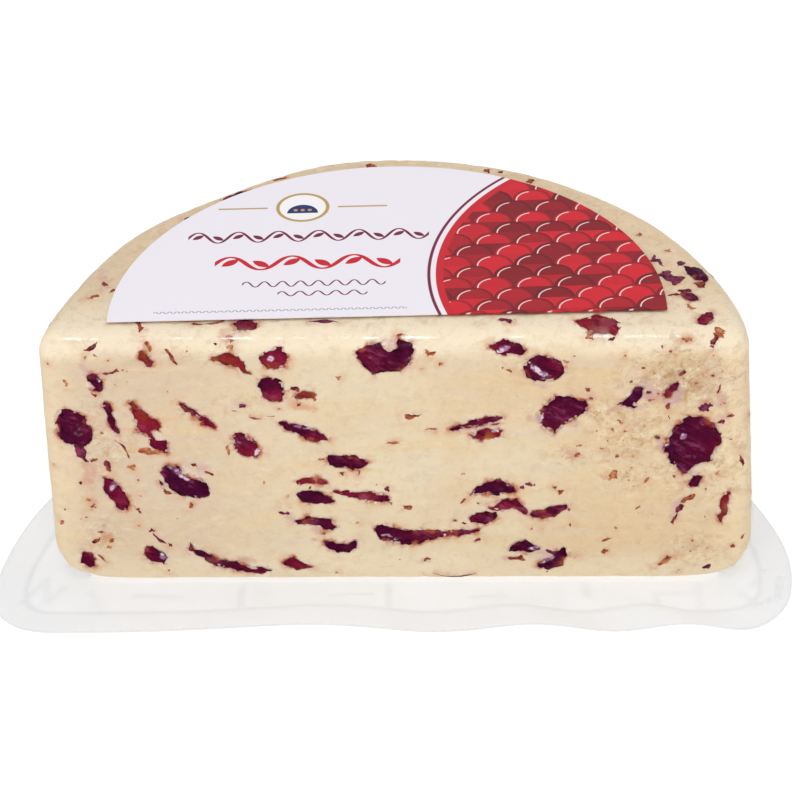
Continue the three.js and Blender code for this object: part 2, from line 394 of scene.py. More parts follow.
def half_wheel_rings(skin):
    """Rings of the half wheel, pulled in by a skin's thickness, from underside to top."""
    def cap(edge, z, shares, spare=0.0):
        flat = pulled_in(wall, edge + skin, spare * edge)
        return [at_height(MIDDLE + (flat - MIDDLE) * share, z) for share in shares]

    def rounding(edge, z, up, steps, spare=0.0):
        return [
            at_height(
                pulled_in(wall, skin + edge * (1 - math.sin(a)), spare * edge * (1 - math.sin(a))),
                z + up * edge * (1 - math.cos(a)),
            )
            for a in np.linspace(0, math.pi / 2, steps + 1)
        ]

    low, high = WHEEL_LOW[2] + skin, WHEEL_HIGH[2] - skin
    spare = 1 - FOOT_FRONT
    under = cap(FOOT_EDGE, low, np.linspace(0, 1, UNDER_RINGS + 1)[:-1], spare)
    foot = rounding(FOOT_EDGE, low, 1, FOOT_RINGS - 1, spare)
    shoulder = rounding(TOP_EDGE, high, -1, SHOULDER_RINGS - 1)[::-1]
    heights = np.linspace(low + FOOT_EDGE, high - TOP_EDGE, SIDE_RINGS + 2)[1:-1]
    side = [at_height(pulled_in(wall, skin), z) for z in heights]
    spread = np.r_[np.linspace(0, 0.6, 9)[:-1], np.linspace(0.6, 1, 30)]   # closer near the edge
    top = cap(TOP_EDGE, high, spread)[::-1][1:]
    return [sagged(ring) for ring in under + foot + side + shoulder + top]


def tree_of(points, faces):
    return BVHTree.FromPolygons(points.tolist(), faces)


def form_tree():
    """The half wheel's plain surface, to lay things on."""
    rings = np.array(half_wheel_rings(0))
    rows, columns = rings.shape[:2]
    faces = [
        (r * columns + c, r * columns + c + 1, (r + 1) * columns + c + 1, (r + 1) * columns + c)
        for r in range(rows - 1) for c in range(columns - 1)
    ]
    return tree_of(rings.reshape(-1, 3), faces)


form = form_tree()

# For each cranberry, the axis along which its hue runs and the hue at its two ends: 0 is purple,
# 0.35 maroon, 0.6 crimson and 1 brown.
HUES = (
    "x 0.05 0.3", "x 0 0.3", "z 0.35 0.1", "z 0.42 0.9", "x 0.2 0.55", "z 0.45 0.5", "x 0 0.1",
    "z 0.3 0.45", "x 0.55 0.1", "x 0.1 0.4", "z 0.7 0.95", "x 0.95 0.7", "z 0.8 0.4",
    "z 0.75 0.05", "x 0.85 0.95", "x 0.05 0.45", "z 0.7 0.2", "x 0.05 0.3", "x 0.7 0.75",
    "x 0 0.3", "x 0.6 0.35", "x 0.1 0.3", "x 0.05 0.2", "x 0.4 0.6",
    "x 0.35 0.05", "x 0.65 0.25", "x 0.15 0.4", "z 0.3 0.1", "x 0.2 0.4", "x 0.5 0.7", "x 0.1 0",
    "x 0.5 0.1", "x 0.2 0.35", "x 0.6 0.4", "x 0.15 0.4", "x 0 0.2", "x 0.1 0", "x 0 0",
    "z 0.65 0.35", "x 0 0.35", "x 0.25 0.2", "z 0.8 0.75", "x 0.5 0.6", "x 0.7 0.6", "x 0.5 0.45",
    "x 0.3 0.3", "x 0 0", "x 0.2 0.3", "z 0 0.3", "z 0.4 0.8", "z 0.1 0.3", "z 0.3 0.6",
    "z 0.2 0", "z 0.7 0.4", "z 0 0.2", "z 0.5 0.7", "z 0.1 0.4",
)
BITES = (                            # x, z, half length, half width, tilt: curd pressed over fruit
    (-56.4, 39.4, 5.4, 1.9, -38), (-0.6, 82.8, 1.9, 3.0, 0), (-65.6, 51.8, 2.2, 1.5, -45),
    (50.4, 54.2, 2.6, 2.0, 20), (42.4, 65.6, 2.2, 1.7, 20), (22.4, 36.8, 3.4, 1.1, 42),
    (91.2, 42.8, 3.4, 4.6, -20), (-24.4, 55.3, 2.0, 0.6, -15), (-33.4, 80.9, 1.2, 0.8, 0),
    (-12, 33.4, 3, 0.7, -10), (64.6, 65.4, 1.3, 1.0, 30), (-84.6, 69.2, 1.6, 0.7, -40),
    (-24.6, 8.6, 1.8, 1.0, -20), (84.4, 40.2, 2.4, 1.2, 25), (93.2, 28.4, 3, 0.8, 80),
)
PAINTED_GLINTS = (                           # x, z, half length, half width, tilt, strength: pale spots of painted highlight on the wet flesh
    (-88.2, 54.2, 3.6, 4.2, 0, 0.32), (-60.4, 38.9, 4.4, 0.9, -40, 0.7),
    (-33.6, 77.8, 1.0, 0.8, 0, 1.0), (-27, 54.8, 1.0, 0.8, 0, 0.9),
    (-23.4, 53.8, 2.4, 0.6, -10, 0.7), (-43.2, 50, 1.3, 0.9, 0, 0.4),
    (-38.8, 46.4, 0.8, 1.4, -30, 1.0), (-79.2, 35.2, 0.9, 1.6, -30, 0.7),
    (-67, 10.2, 0.7, 1.6, 20, 0.9), (31.4, 80.6, 1.2, 1.2, 0, 1.0), (29.6, 79.6, 0.8, 0.6, 0, 0.9),
    (40.2, 73.3, 2.9, 0.8, -42, 1.0), (42.2, 70.8, 2.2, 0.8, 0, 0.5),
    (40.8, 57.8, 0.6, 1.7, -20, 0.8), (51.4, 64.2, 1.5, 0.7, -35, 0.8),
    (-3.6, 17.3, 1.5, 0.4, -12, 1.0), (-1.0, 16.4, 1.2, 0.9, 0, 0.5),
    (38.2, 12.8, 1.7, 1.1, 0, 0.7), (41, 8.6, 3.0, 1.1, 25, 0.8), (79.8, 51, 1.0, 1.0, 0, 1.0),
    (84.8, 55.4, 0.8, 0.3, -30, 0.5), (88.2, 54.2, 0.8, 0.3, -30, 0.5),
    (74.9, 49.2, 0.7, 1.8, 8, 0.9), (82.8, 44.6, 1.6, 1.1, 0, 0.34),
    (84.2, 41.2, 2.4, 1.0, 20, 0.5), (2.6, 83.6, 0.6, 0.7, 0, 1.0), (-50, 8.5, 2.4, 0.8, -20, 0.5),
    (21.8, 52.9, 1.7, 0.5, 8, 1.0), (28.2, 53.6, 1.5, 0.4, 20, 1.0), (31.4, 35.6, 0.7, 0.8, 0, 1.0),
    (-82, 70.8, 1.5, 0.6, -30, 0.6), (-12.4, 79.6, 0.7, 1.6, 0, 0.3), (-6, 78, 1.4, 0.9, 0, 0.35),
    (5.4, 77.4, 1.4, 2.0, 40, 0.4), (47.4, 75.4, 1.3, 1.6, 0, 0.3), (-70.6, 62, 0.6, 1.2, -50, 0.7),
)


FRUIT_VOXEL = 0.36
CUT_DEPTH = 0.45                     # fruit nearer to the surface than this has been cut through
SMALL_FRUIT = 2.4                    # fruit thinner than this from its rim inwards tears more


def in_ellipse(x, z, ellipse):
    """How far points lie from the middle of a tilted ellipse, 1 at its edge."""
    x0, z0, long, wide, tilt = ellipse
    turn = math.radians(tilt)
    u = (x - x0) * math.cos(turn) + (z - z0) * math.sin(turn)
    v = (z - z0) * math.cos(turn) - (x - x0) * math.sin(turn)
    return np.hypot(u / long, v / wide)


def on_form(points):
    """The nearest places on the plain half wheel, its outward normals there, and depths under it."""
    found = [form.find_nearest(Vector(p))[:2] for p in points]
    places, normals = np.array([f[0] for f in found]), np.array([f[1] for f in found])
    away = points - HEART
    normals *= np.sign((normals * away).sum(axis=1))[:, None]
    return places, normals, ((places - points) * normals).sum(axis=1)


def fine_copy(node):
    """A copy of a node's solid, remeshed finely."""
    copy = nodes[node].copy()
    copy.data = nodes[node].data.copy()
    copy.parent = None
    bpy.context.collection.objects.link(copy)
    only(copy)
    bpy.ops.object.mode_set(mode="EDIT")
    bpy.ops.mesh.select_all(action="SELECT")
    bpy.ops.mesh.remove_doubles(threshold=1e-6)
    bpy.ops.object.mode_set(mode="OBJECT")
    for key in list(copy.keys()):
        del copy[key]
    copy.data.remesh_voxel_size = FRUIT_VOXEL * MM
    bpy.ops.object.voxel_remesh()
    return copy


def from_rim(points, cut):
    """How far inside the rim of a cut its points lie, and 0 for the others."""
    rim = KDTree(int((~cut).sum()))
    for i, p in enumerate(points[~cut]):
        rim.insert(p, i)
    rim.balance()
    return np.array([rim.find(p)[2] if inside else 0 for p, inside in zip(points, cut)])


def cut_open(node, number):
    """A cranberry torn and cut flush with the cheese, its depth and hue stored at each vertex."""
    copy = fine_copy(node)
    points = points_of(copy)
    _, outward, under = on_form(points)
    cut = under < CUT_DEPTH
    core = from_rim(points, cut)
    plump = min(core.max() / 2.6, 1)
    ripped = 0.9 if core.max() < SMALL_FRUIT else 0.5
    torn = np.array([
        ripped * (rough(p, 5.0, number) + rough(p, 2.1, number)) + 0.4 * rough(p, 0.95, number)
        for p in points
    ])
    torn += normals_of(copy) * 0.25 * plump
    torn -= outward * (torn * outward).sum(axis=1)[:, None] * (under < 3)[:, None]
    places, outward, under = on_form(points + torn)
    pits = np.array([max(0, rough(p, 1.3, number)[0]) + rough(p, 3.1, number)[1] for p in points])
    sunk = 0.17 + 0.16 * pits + 0.4 * plump * np.exp(-(core / 0.7) ** 2)
    x, y, z = points.T
    for bite in BITES:
        sunk += ramp(in_ellipse(x, z, bite), 1.25, 0.75) * 0.9 * (y < FACE_DEPTH)
    sunk = np.where(cut, np.maximum(sunk, 0.14), np.maximum(under, 0.5))
    move_points(copy, places - outward * sunk[:, None])
    axis, first, last = HUES[number - 1].split()
    along = points[:, "xyz".index(axis)]
    share = (along - along.min()) / np.ptp(along)
    mark(copy, "tone", float(first) + (float(last) - float(first)) * share)
    mark(copy, "core", core)
    # Painted highlight: how strongly each vertex of the cut face lies in a glint spot.
    pale = [ramp(in_ellipse(x, z, spot), 1.5, 0.5) * strength for *spot, strength in PAINTED_GLINTS]
    mark(copy, "pale", np.max(pale, axis=0) * (y < FACE_DEPTH))
    return copy


fruit_nodes = sorted(name for name in nodes if name.startswith("cranberry"))
cranberries = joined([cut_open(name, i + 1) for i, name in enumerate(fruit_nodes)], "cranberries")


def cranberry_flesh():
    paint = Paint("cranberry_flesh", {"Specular IOR Level": 0.02, "Roughness": 0.3})
    tone, core, pale = (paint.attribute(name) for name in ("tone", "core", "pale"))
    patches = paint.grain(3.6 * MM, 3, 0.6)
    broad = paint.grain(7 * MM, 2, 0.5)
    streaks = paint.grain(2.2 * MM, 3, 0.6, paint.slanted(0.5, 2.2, 0.8), distortion=0.5)
    hue = tone + (broad - 0.5) * 0.6 + (patches - 0.5) * 0.45
    stops = (
        (0.0, srgb(66, 3, 42)), (0.25, srgb(84, 6, 42)), (0.45, srgb(108, 12, 46)),
        (0.6, srgb(130, 24, 48)), (0.72, srgb(140, 30, 38)), (0.85, srgb(140, 54, 38)),
        (1.0, srgb(172, 92, 46)),
    )
    flesh = hue.node("ShaderNodeValToRGB", {"stops": stops}, {0: hue})
    lilac = streaks.rise(0.46, 0.7) * broad.rise(0.44, 0.6)
    flesh = (lilac * 0.5).mix(flesh, srgb(154, 76, 118))
    flesh = (streaks.rise(0.46, 0.32) * 0.7).mix(flesh, srgb(36, 0, 16))
    rim = (core + (patches - 0.5) * 1.6).rise(0.9, 0.2)
    flesh = (rim * patches.rise(0.35, 0.5) * 0.6).mix(flesh, srgb(40, 2, 14))
    thin = (core + (streaks - 0.5) * 2.2).rise(1.2, 0.2)
    edge = patches.rise(0.42, 0.6).mix(srgb(122, 26, 44), srgb(176, 92, 56))
    flesh = (thin * broad.rise(0.54, 0.64) * 0.7).mix(flesh, edge)
    fray = paint.grain(1.4 * MM, 3, 0.6)
    # Painted highlight: lilac to near-white glints on the wet flesh at the listed spots.
    wet = (pale * (fray * 1.4 + 0.3)).rise(0.28, 0.85)
    flesh = wet.mix(flesh, fray.rise(0.44, 0.58).mix(srgb(162, 112, 150), srgb(222, 202, 212)))
    height = streaks * 0.5 + patches
    paint.feed({"Base Color": flesh, "Normal": paint.bump(height, 0.25 * MM)})
    return paint.material


cranberries.data.materials.clear()
cranberries.data.materials.append(cranberry_flesh())
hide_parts(*fruit_nodes)
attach(cranberries, "root")


# --- Fruit scraps ---------------------------------------------------------------------------------
# Skins, torn ends and specks of cranberry between the berries, lying flush in the curd. Each scrap
# is a small ball flattened, stretched and torn; the kinds run from orange-brown to dark purple.

FACE_SCRAPS = (                      # x, z, length, width, tilt in degrees, kind
    (-88, 46, 8.4, 2.9, -62, 1.8), (-67.7, 47, 10, 2.8, 4, 0.7), (-76.1, 47.4, 8, 0.7, -60, 1),
    (-74, 41.3, 2.3, 1.9, 30, 0), (-81, 41.6, 5.2, 1.5, -80, 1), (-58.2, 28.1, 2.8, 1.2, 80, 1),
    (-73, 26.4, 2.9, 1.4, -68, 1), (-85.9, 27.8, 2.3, 1.7, 10, 1), (-85.6, 16.1, 3.8, 1.4, 35, 1),
    (-83.8, 18.6, 2.4, 0.9, 0, 0), (-81.3, 16, 1.9, 1, 60, 0), (-82.1, 13.5, 2.1, 1.5, 30, 0.4),
    (-84.6, 9.4, 6.4, 0.7, -52, 1), (-67.6, 16.6, 7.4, 1, -46, 2), (-69.8, 19.1, 1.9, 1.5, 0, 1.2),
    (-64.7, 14.1, 2, 2, 0, 1), (-61.1, 78.4, 7.3, 1.4, -58, 1), (-90.5, 69.6, 3.3, 1.1, -76, 0),
    (-78.6, 73.2, 4, 1, 12, 1.2), (-76.4, 73.6, 1.8, 1.3, 0, 1), (-82.7, 81.6, 4.4, 1.4, 30, 1),
    (-84.6, 78, 1.7, 1, 60, 0), (-66.9, 81.6, 2.8, 1.2, -55, 0.8), (-53.6, 55.6, 2.8, 1.5, -10, 0),
    (-84.6, 43.6, 1.7, 1.2, 0, 1), (-88.7, 36.1, 1.4, 1.1, 0, 1), (-87, 30, 1.5, 1.1, 0, 0),
    (-94.8, 21.9, 1.6, 1.2, 70, 0), (-56.4, 41.8, 3.6, 1.2, -25, 1.3), (-52.6, 39, 4.2, 1, -36, 1),
    (-64.6, 32.8, 3.4, 1.2, -48, 0.2), (-66.2, 35.8, 2.4, 0.8, -66, 1.2), (-82.9, 66, 2.6, 1, -50, 1),
    (-44.6, 84.3, 3.4, 1.8, -60, 1), (-44.6, 81.2, 1.8, 1.2, 0, 0), (-42.1, 61.9, 4, 1.5, 6, 2),
    (-44, 60, 3.6, 0.9, -14, 0.3), (-38.4, 58.3, 9, 0.6, -11, 0.4), (-34, 58.2, 5, 0.9, 2, 0.6),
    (-20.9, 43.4, 2.1, 1.2, 0, 0.7), (-31.8, 25.7, 4, 3, 10, 2), (-27.2, 67.4, 2.8, 1.6, -30, 1),
    (-26.4, 62.4, 2, 1.4, 60, 0.6), (-22, 64, 1.6, 0.9, -70, 0.5), (-15, 71.3, 2.3, 1.4, 10, 0),
    (-11.4, 21.7, 2.1, 1.2, -10, 0.2), (-2.6, 33.2, 2.6, 1.6, 60, 1.6), (-2, 28.6, 2.6, 1.3, 0, 0),
    (-37, 35.6, 1.4, 1, 30, 0), (10.6, 79.3, 3.5, 2, -12, 0.8), (2.4, 85.8, 2.8, 1.2, 12, 1.4),
    (4.7, 57.9, 8, 2.1, 6, 0.3), (6.6, 58.7, 4.4, 0.9, 2, 1.6), (-0.6, 48.8, 5.8, 0.9, 0, 0.3),
    (34.8, 34, 1.7, 1.4, 40, 2), (36.8, 34.7, 2.4, 1.3, -30, 2), (38.4, 34.6, 1.2, 1, 0, 2),
    (2.8, 27.1, 3.2, 1.8, 10, 0), (7.6, 8.5, 2.6, 1.6, 30, 1), (14.8, 3, 16, 0.6, 0, 2),
    (33.2, 8.8, 5.6, 1.8, 0, 1.2), (43.6, 11.5, 7, 1.6, -2, 2), (85.9, 60.9, 4.6, 2.8, 52, 1.4),
    (95.7, 42.2, 5.4, 1.3, -80, 1), (60.1, 37.9, 4.4, 2.2, 62, 0.2), (69.8, 35.8, 4.6, 1.1, 51, 0.2),
    (74.2, 7.8, 7.4, 1.9, 41, 0.2), (75.2, 9, 2.4, 1.5, 50, 1), (86.5, 5.6, 3.2, 1.3, 20, 2),
    (93.6, 13.4, 1.9, 1.6, 0, 1), (96.8, 16.4, 2.3, 0.8, 45, 0), (80.7, 82.9, 2.6, 1.6, 0, 0.8),
    (58.2, 15.6, 4, 1.1, 20, 0.4), (57.7, 11.4, 2.9, 1.6, 30, 0.2), (48.3, 20.6, 1.8, 1.5, 30, 1),
    (47.9, 26, 1.2, 1, 0, 1), (80.4, 30, 6.8, 1.9, 38, 1), (77.4, 22.8, 4.4, 1.6, 72, 1),
    (78.6, 26.4, 4, 1.6, 62, 1.2), (67.2, 26.8, 2.8, 0.8, 50, 0.6), (89.4, 38.4, 2.5, 1.1, 62, 0),
    (88.2, 83.6, 5.6, 1.7, 80, 2), (61.8, 56.2, 2.8, 1, -38, 0), (63.7, 52.9, 2, 1.2, -12, 0),
    (51, 47.9, 2.7, 0.8, 15, 0), (50.5, 44.9, 2, 1, 30, 0.6), (71.4, 63.4, 2.3, 0.9, 25, 1),
    (72.9, 65.2, 1.8, 0.8, -30, 1), (70.4, 65.8, 1.4, 0.8, 0, 1), (75.7, 61, 3, 1, 82, 1),
    (75.9, 57.4, 2.6, 0.6, -55, 1), (79.6, 72, 2, 0.8, 50, 1.6), (65.6, 69.4, 1.1, 0.9, 0, 1.6),
    (62, 62, 2.6, 1.1, 10, 2), (92.9, 57.6, 2.6, 0.9, 10, 1), (89.6, 66.6, 3, 0.7, 78, 1),
    (90.4, 55.8, 1.8, 1, 10, 2), (83.4, 68.6, 1.6, 0.7, 30, 0), (72.6, 50.6, 1.6, 1, -30, 1.6),
    (45.8, 32, 2.1, 1.4, 60, 0.8), (44, 33.7, 1.6, 0.8, 0, 0), (22, 15.7, 2.2, 1, 25, 2),
    (15.8, 22.3, 2.2, 0.8, 0, 1), (18.4, 21.5, 2.1, 0.8, -10, 1), (18.4, 29, 3.6, 0.9, 45, 0.8),
    (22.6, 28.6, 1.5, 1.1, 0, 1), (25.6, 50.5, 4, 1.1, -6, 0.2), (27.9, 55.3, 3.8, 0.7, 10, 1.4),
    (18.6, 38.7, 1.6, 1.2, 20, 0.3), (9.9, 53.6, 4.2, 1, 4, 0.4), (10.1, 54.1, 1.4, 0.7, 0, 2),
    (-15, 38.9, 2.2, 1.1, 68, 1), (-10.6, 39, 2.4, 1.1, 72, 1), (-21.4, 18.3, 3, 1.1, 10, 1),
    (53.6, 66.8, 1.6, 1.2, 0, 1), (54.4, 64, 1.4, 1, 40, 1), (32, 73.2, 2.2, 0.8, -20, 0),
    (47.8, 76.4, 1.8, 1, 0, 0.4), (-46.9, 47, 1.4, 3.6, 0, 0.2), (13.4, 75.6, 1.5, 1, 0, 0),
)
FACE_SPECKS = (                      # x, z: orange-brown specks of one or two millimetres
    (8, 73.8), (37.3, 19.5), (40.6, 19.6), (-30.7, 31.2), (-93.6, 26.5), (-62.4, 66.8), (-95, 76),
    (30.4, 74.2), (81.8, 11.4), (86.6, 12.6), (78.4, 4.4), (85.8, 23.4), (82, 66), (72, 72),
    (69, 74), (84, 74.6), (88, 71), (91, 62), (57, 47), (66, 44), (88, 78), (64, 78), (50, 78),
    (-88, 24), (-90, 10), (49.6, 9.8), (64.6, 36.4), (93, 50), (86, 33), (-96, 42), (56, 53),
)
TOP_SCRAPS = (                       # x, y, length, width, tilt, kind
    (-69.8, 6.6, 5.8, 1.5, -74, 1.4), (-51.3, 8.2, 12.8, 1.6, 8, 1), (-18.7, 8, 9.7, 1.8, 0, 2),
    (31.3, 8.4, 6.9, 3, 0, 2), (-81.1, 27.7, 2.4, 2, 0, 1), (-78.8, 24.1, 2.2, 2, 0, 1),
    (-83.6, 21.2, 5.6, 2.2, 10, 0), (-9.1, 88.6, 4, 2, 0, 1), (24.2, 85.9, 2.4, 2, 0, 1),
    (28, 84.8, 2.2, 2, 0, 2), (36.7, 80, 2.4, 2, 0, 1), (67.9, 51.6, 2.4, 1.8, 0, 0.4),
    (75.8, 42.5, 3, 1.6, 0, 0), (73, 38.5, 7.4, 3.4, -55, 2), (76, 29, 9.5, 6.4, -60, 2),
    (84.9, 25.6, 4.4, 3.2, -50, 1.2), (82.3, 14.6, 4.8, 1.3, -40, 0.3), (90, 2.6, 4, 3, 60, 0),
    (-35, 82.6, 5, 1.6, 20, 1), (-60.4, 61, 4, 2, 40, 1), (79.4, 36.4, 3, 2, 20, 2),
    (61.6, 7.6, 4.6, 1.7, -38, 1), (54.6, 2.6, 4.4, 2.4, 68, 0.7), (60.2, 0.9, 2.6, 1.3, 10, 2),
    (77.6, 20.6, 3.6, 1, 10, 1.4), (80.4, 22.8, 4, 1.4, -8, 2),
)
SIDE_SCRAPS = 190                    # how many there are round the side,
UNDER_SCRAPS = 46                    # on the underside,
FLECKS = 60                          # and of the smallest in the cut face
SCRAP_DEPTH = 0.6                    # how deep a scrap's middle lies, so that its crown is flush


def scrap(spot, outward, along, long, wide, kind, seed, detail):
    """One torn scrap, lying at the surface of the paste nearest to a spot."""
    outward, along = np.array(outward, float), np.array(along, float)
    across = np.cross(outward, along)
    seat = np.array(form.find_nearest(Vector(spot))[0])
    bpy.ops.mesh.primitive_ico_sphere_add(subdivisions=detail, radius=MM)
    piece = bpy.context.object
    shape = points_of(piece)
    tear = np.array([rough(p * (1, 0.6, 0), 0.55, seed) + rough(p, 0.3, seed) * 0.5 for p in shape])
    u = shape[:, 0] * long / 2 + tear[:, 0] * min(long, 3) * 0.3
    v = (shape[:, 1] + tear[:, 1] * 1.1) * wide / 2
    v = v + math.sin(seed * 3.7) * 0.09 * long * np.cos(shape[:, 0] * 2.2)
    flat = seat + np.outer(u, along) + np.outer(v, across) - outward
    place, outward, _ = on_form(flat)
    move_points(piece, place - outward * (SCRAP_DEPTH - shape[:, 2:] * 0.32))
    mark(piece, "kind", np.full(len(place), kind + 0.5 * math.sin(seed * 5.1)))
    return piece


def turned(first, second, tilt):
    angle = math.radians(tilt)
    return np.array(first) * math.cos(angle) + np.array(second) * math.sin(angle)


def listed_scraps(dice):
    """The scraps and specks of the cut face, then the scraps of the top."""
    pieces = []
    for i, (x, z, long, wide, tilt, kind) in enumerate(FACE_SCRAPS):
        along = turned((1, 0, 0), (0, 0, 1), tilt)
        pieces.append(scrap((x, 0, z), (0, -1, 0), along, long, wide, kind, i, 3))
    for i, (x, z) in enumerate(FACE_SPECKS):
        along = turned((1, 0, 0), (0, 0, 1), dice.uniform(0, 180))
        size = dice.uniform(0.8, 1.5)
        pieces.append(scrap((x, 0, z), (0, -1, 0), along, size, size * 0.7, 0.2, 90 + i, 1))
    for i, (x, y, long, wide, tilt, kind) in enumerate(TOP_SCRAPS):
        along = turned((1, 0, 0), (0, 1, 0), tilt)
        pieces.append(scrap((x, y, 84.8), (0, 0, 1), along, long, wide, kind, 160 + i, 3))
    return pieces


def side_scraps(dice):
    """Scraps all over the curved side, most of them lying level."""
    side_columns = [i for i in range(1, WALL_COLUMNS) if wall[i][1] > 5]
    pieces = []
    for i in range(SIDE_SCRAPS):
        column = dice.choice(side_columns)
        heading = wall[(column + 1) % WALL_COLUMNS] - wall[column - 1]
        heading = heading / np.hypot(*heading)
        z = dice.uniform(4, 82)
        along = turned((*heading, 0), (0, 0, 1), dice.gauss(0, 32))
        long = dice.choice((1.2, 1.6, 1.6, 2.4, 2.4, 3.5, 5, 7.5, 10))
        wide = min(long * 0.65, dice.uniform(0.8, 2 + long * 0.28))
        outward = (heading[1], -heading[0], 0)
        kind = dice.choice((0, 0, 1, 1, 2)) if long < 5 else dice.choice((1, 2, 2.3))
        detail = 2 if long < 5 else 3
        pieces.append(scrap((*wall[column], z), outward, along, long, wide, kind, 200 + i, detail))
    return pieces


def under_scraps(dice):
    """Scraps on the underside, away from its rim."""
    pieces = []
    for i in range(UNDER_SCRAPS):
        x, y = dice.uniform(-80, 80), dice.uniform(8, 84)
        if math.hypot(x, y) > 84:
            continue
        along = turned((1, 0, 0), (0, 1, 0), dice.uniform(0, 180))
        long = dice.choice((1.4, 2.5, 4, 7, 10))
        wide = min(long * 0.7, dice.uniform(0.8, 5))
        pieces.append(scrap((x, y, 1), (0, 0, -1), along, long, wide, dice.choice((0, 1, 2)), i, 2))
    return pieces


def flecks(dice):
    """Flecks under a millimetre in the cut face, most of them near its two ends."""
    pieces = []
    for i in range(FLECKS):
        left, right = dice.triangular(-97, -40, -84), dice.triangular(40, 97, 82)
        x, z = dice.choice((left, right, dice.uniform(-95, 95))), dice.uniform(3, 83)
        along = turned((1, 0, 0), (0, 0, 1), dice.uniform(0, 180))
        size = dice.uniform(0.4, 1.0)
        kind = dice.choice((0, 0, 0.3, 1))
        pieces.append(scrap((x, 0, z), (0, -1, 0), along, size * 1.5, size, kind, 400 + i, 1))
    return pieces


dice = random.Random(31)
scraps = joined(
    listed_scraps(dice) + side_scraps(dice) + under_scraps(dice) + flecks(dice), "fruit_scraps"
)


def scrap_skin():
    paint = Paint("fruit_scrap", {"Specular IOR Level": 0.08, "Roughness": 0.45})
    kind = paint.attribute("kind")
    patches = paint.grain(1.6 * MM, 4, 0.65)
    orange = patches.rise(0.35, 0.65).mix(srgb(150, 62, 34), srgb(206, 142, 96))
    brown = patches.rise(0.35, 0.65).mix(srgb(92, 22, 22), srgb(172, 84, 56))
    purple = patches.rise(0.35, 0.65).mix(srgb(66, 4, 30), srgb(138, 52, 84))
    colour = kind.rise(0.2, 0.8).mix(orange, brown)
    colour = kind.rise(1.2, 1.8).mix(colour, purple)
    paint.feed({"Base Color": colour, "Normal": paint.bump(patches, 0.3 * MM)})
    return paint.material


scraps.data.materials.append(scrap_skin())
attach(scraps, "root")


# --- Cheese --------------------------------------------------------------------------------------
# Pale, moist, crumbly wensleydale pressed into a wheel and cut in half with a wire. One closed body
# wrapped from a grid, ring by ring, laid round the fruit and roughened into crumbs.

def wrapped(name, rings):
    """A closed body from a grid primitive: each row of the grid becomes one ring round the body."""
    rings = np.array(rings)
    rows, columns = rings.shape[0] - 1, rings.shape[1] - 1
    bpy.ops.mesh.primitive_grid_add(x_subdivisions=columns, y_subdivisions=rows, size=1)
    body = bpy.context.object
    body.name = name
    body.data.name = name
    move_points(body, rings.reshape(-1, 3))
    bpy.ops.object.mode_set(mode="EDIT")
    bpy.ops.mesh.select_all(action="SELECT")
    bpy.ops.mesh.remove_doubles(threshold=1e-7)
    bpy.ops.mesh.normals_make_consistent(inside=False)
    bpy.ops.object.mode_set(mode="OBJECT")
    bpy.ops.object.shade_smooth()
    return body


CURD_DEPTH = 0.25                    # how far the curd is pulled in from the plain half wheel
cheese = wrapped("cheese_paste", half_wheel_rings(CURD_DEPTH))


def tree_of_piece(piece):
    return tree_of(points_of(piece), [tuple(p.vertices) for p in piece.data.polygons])


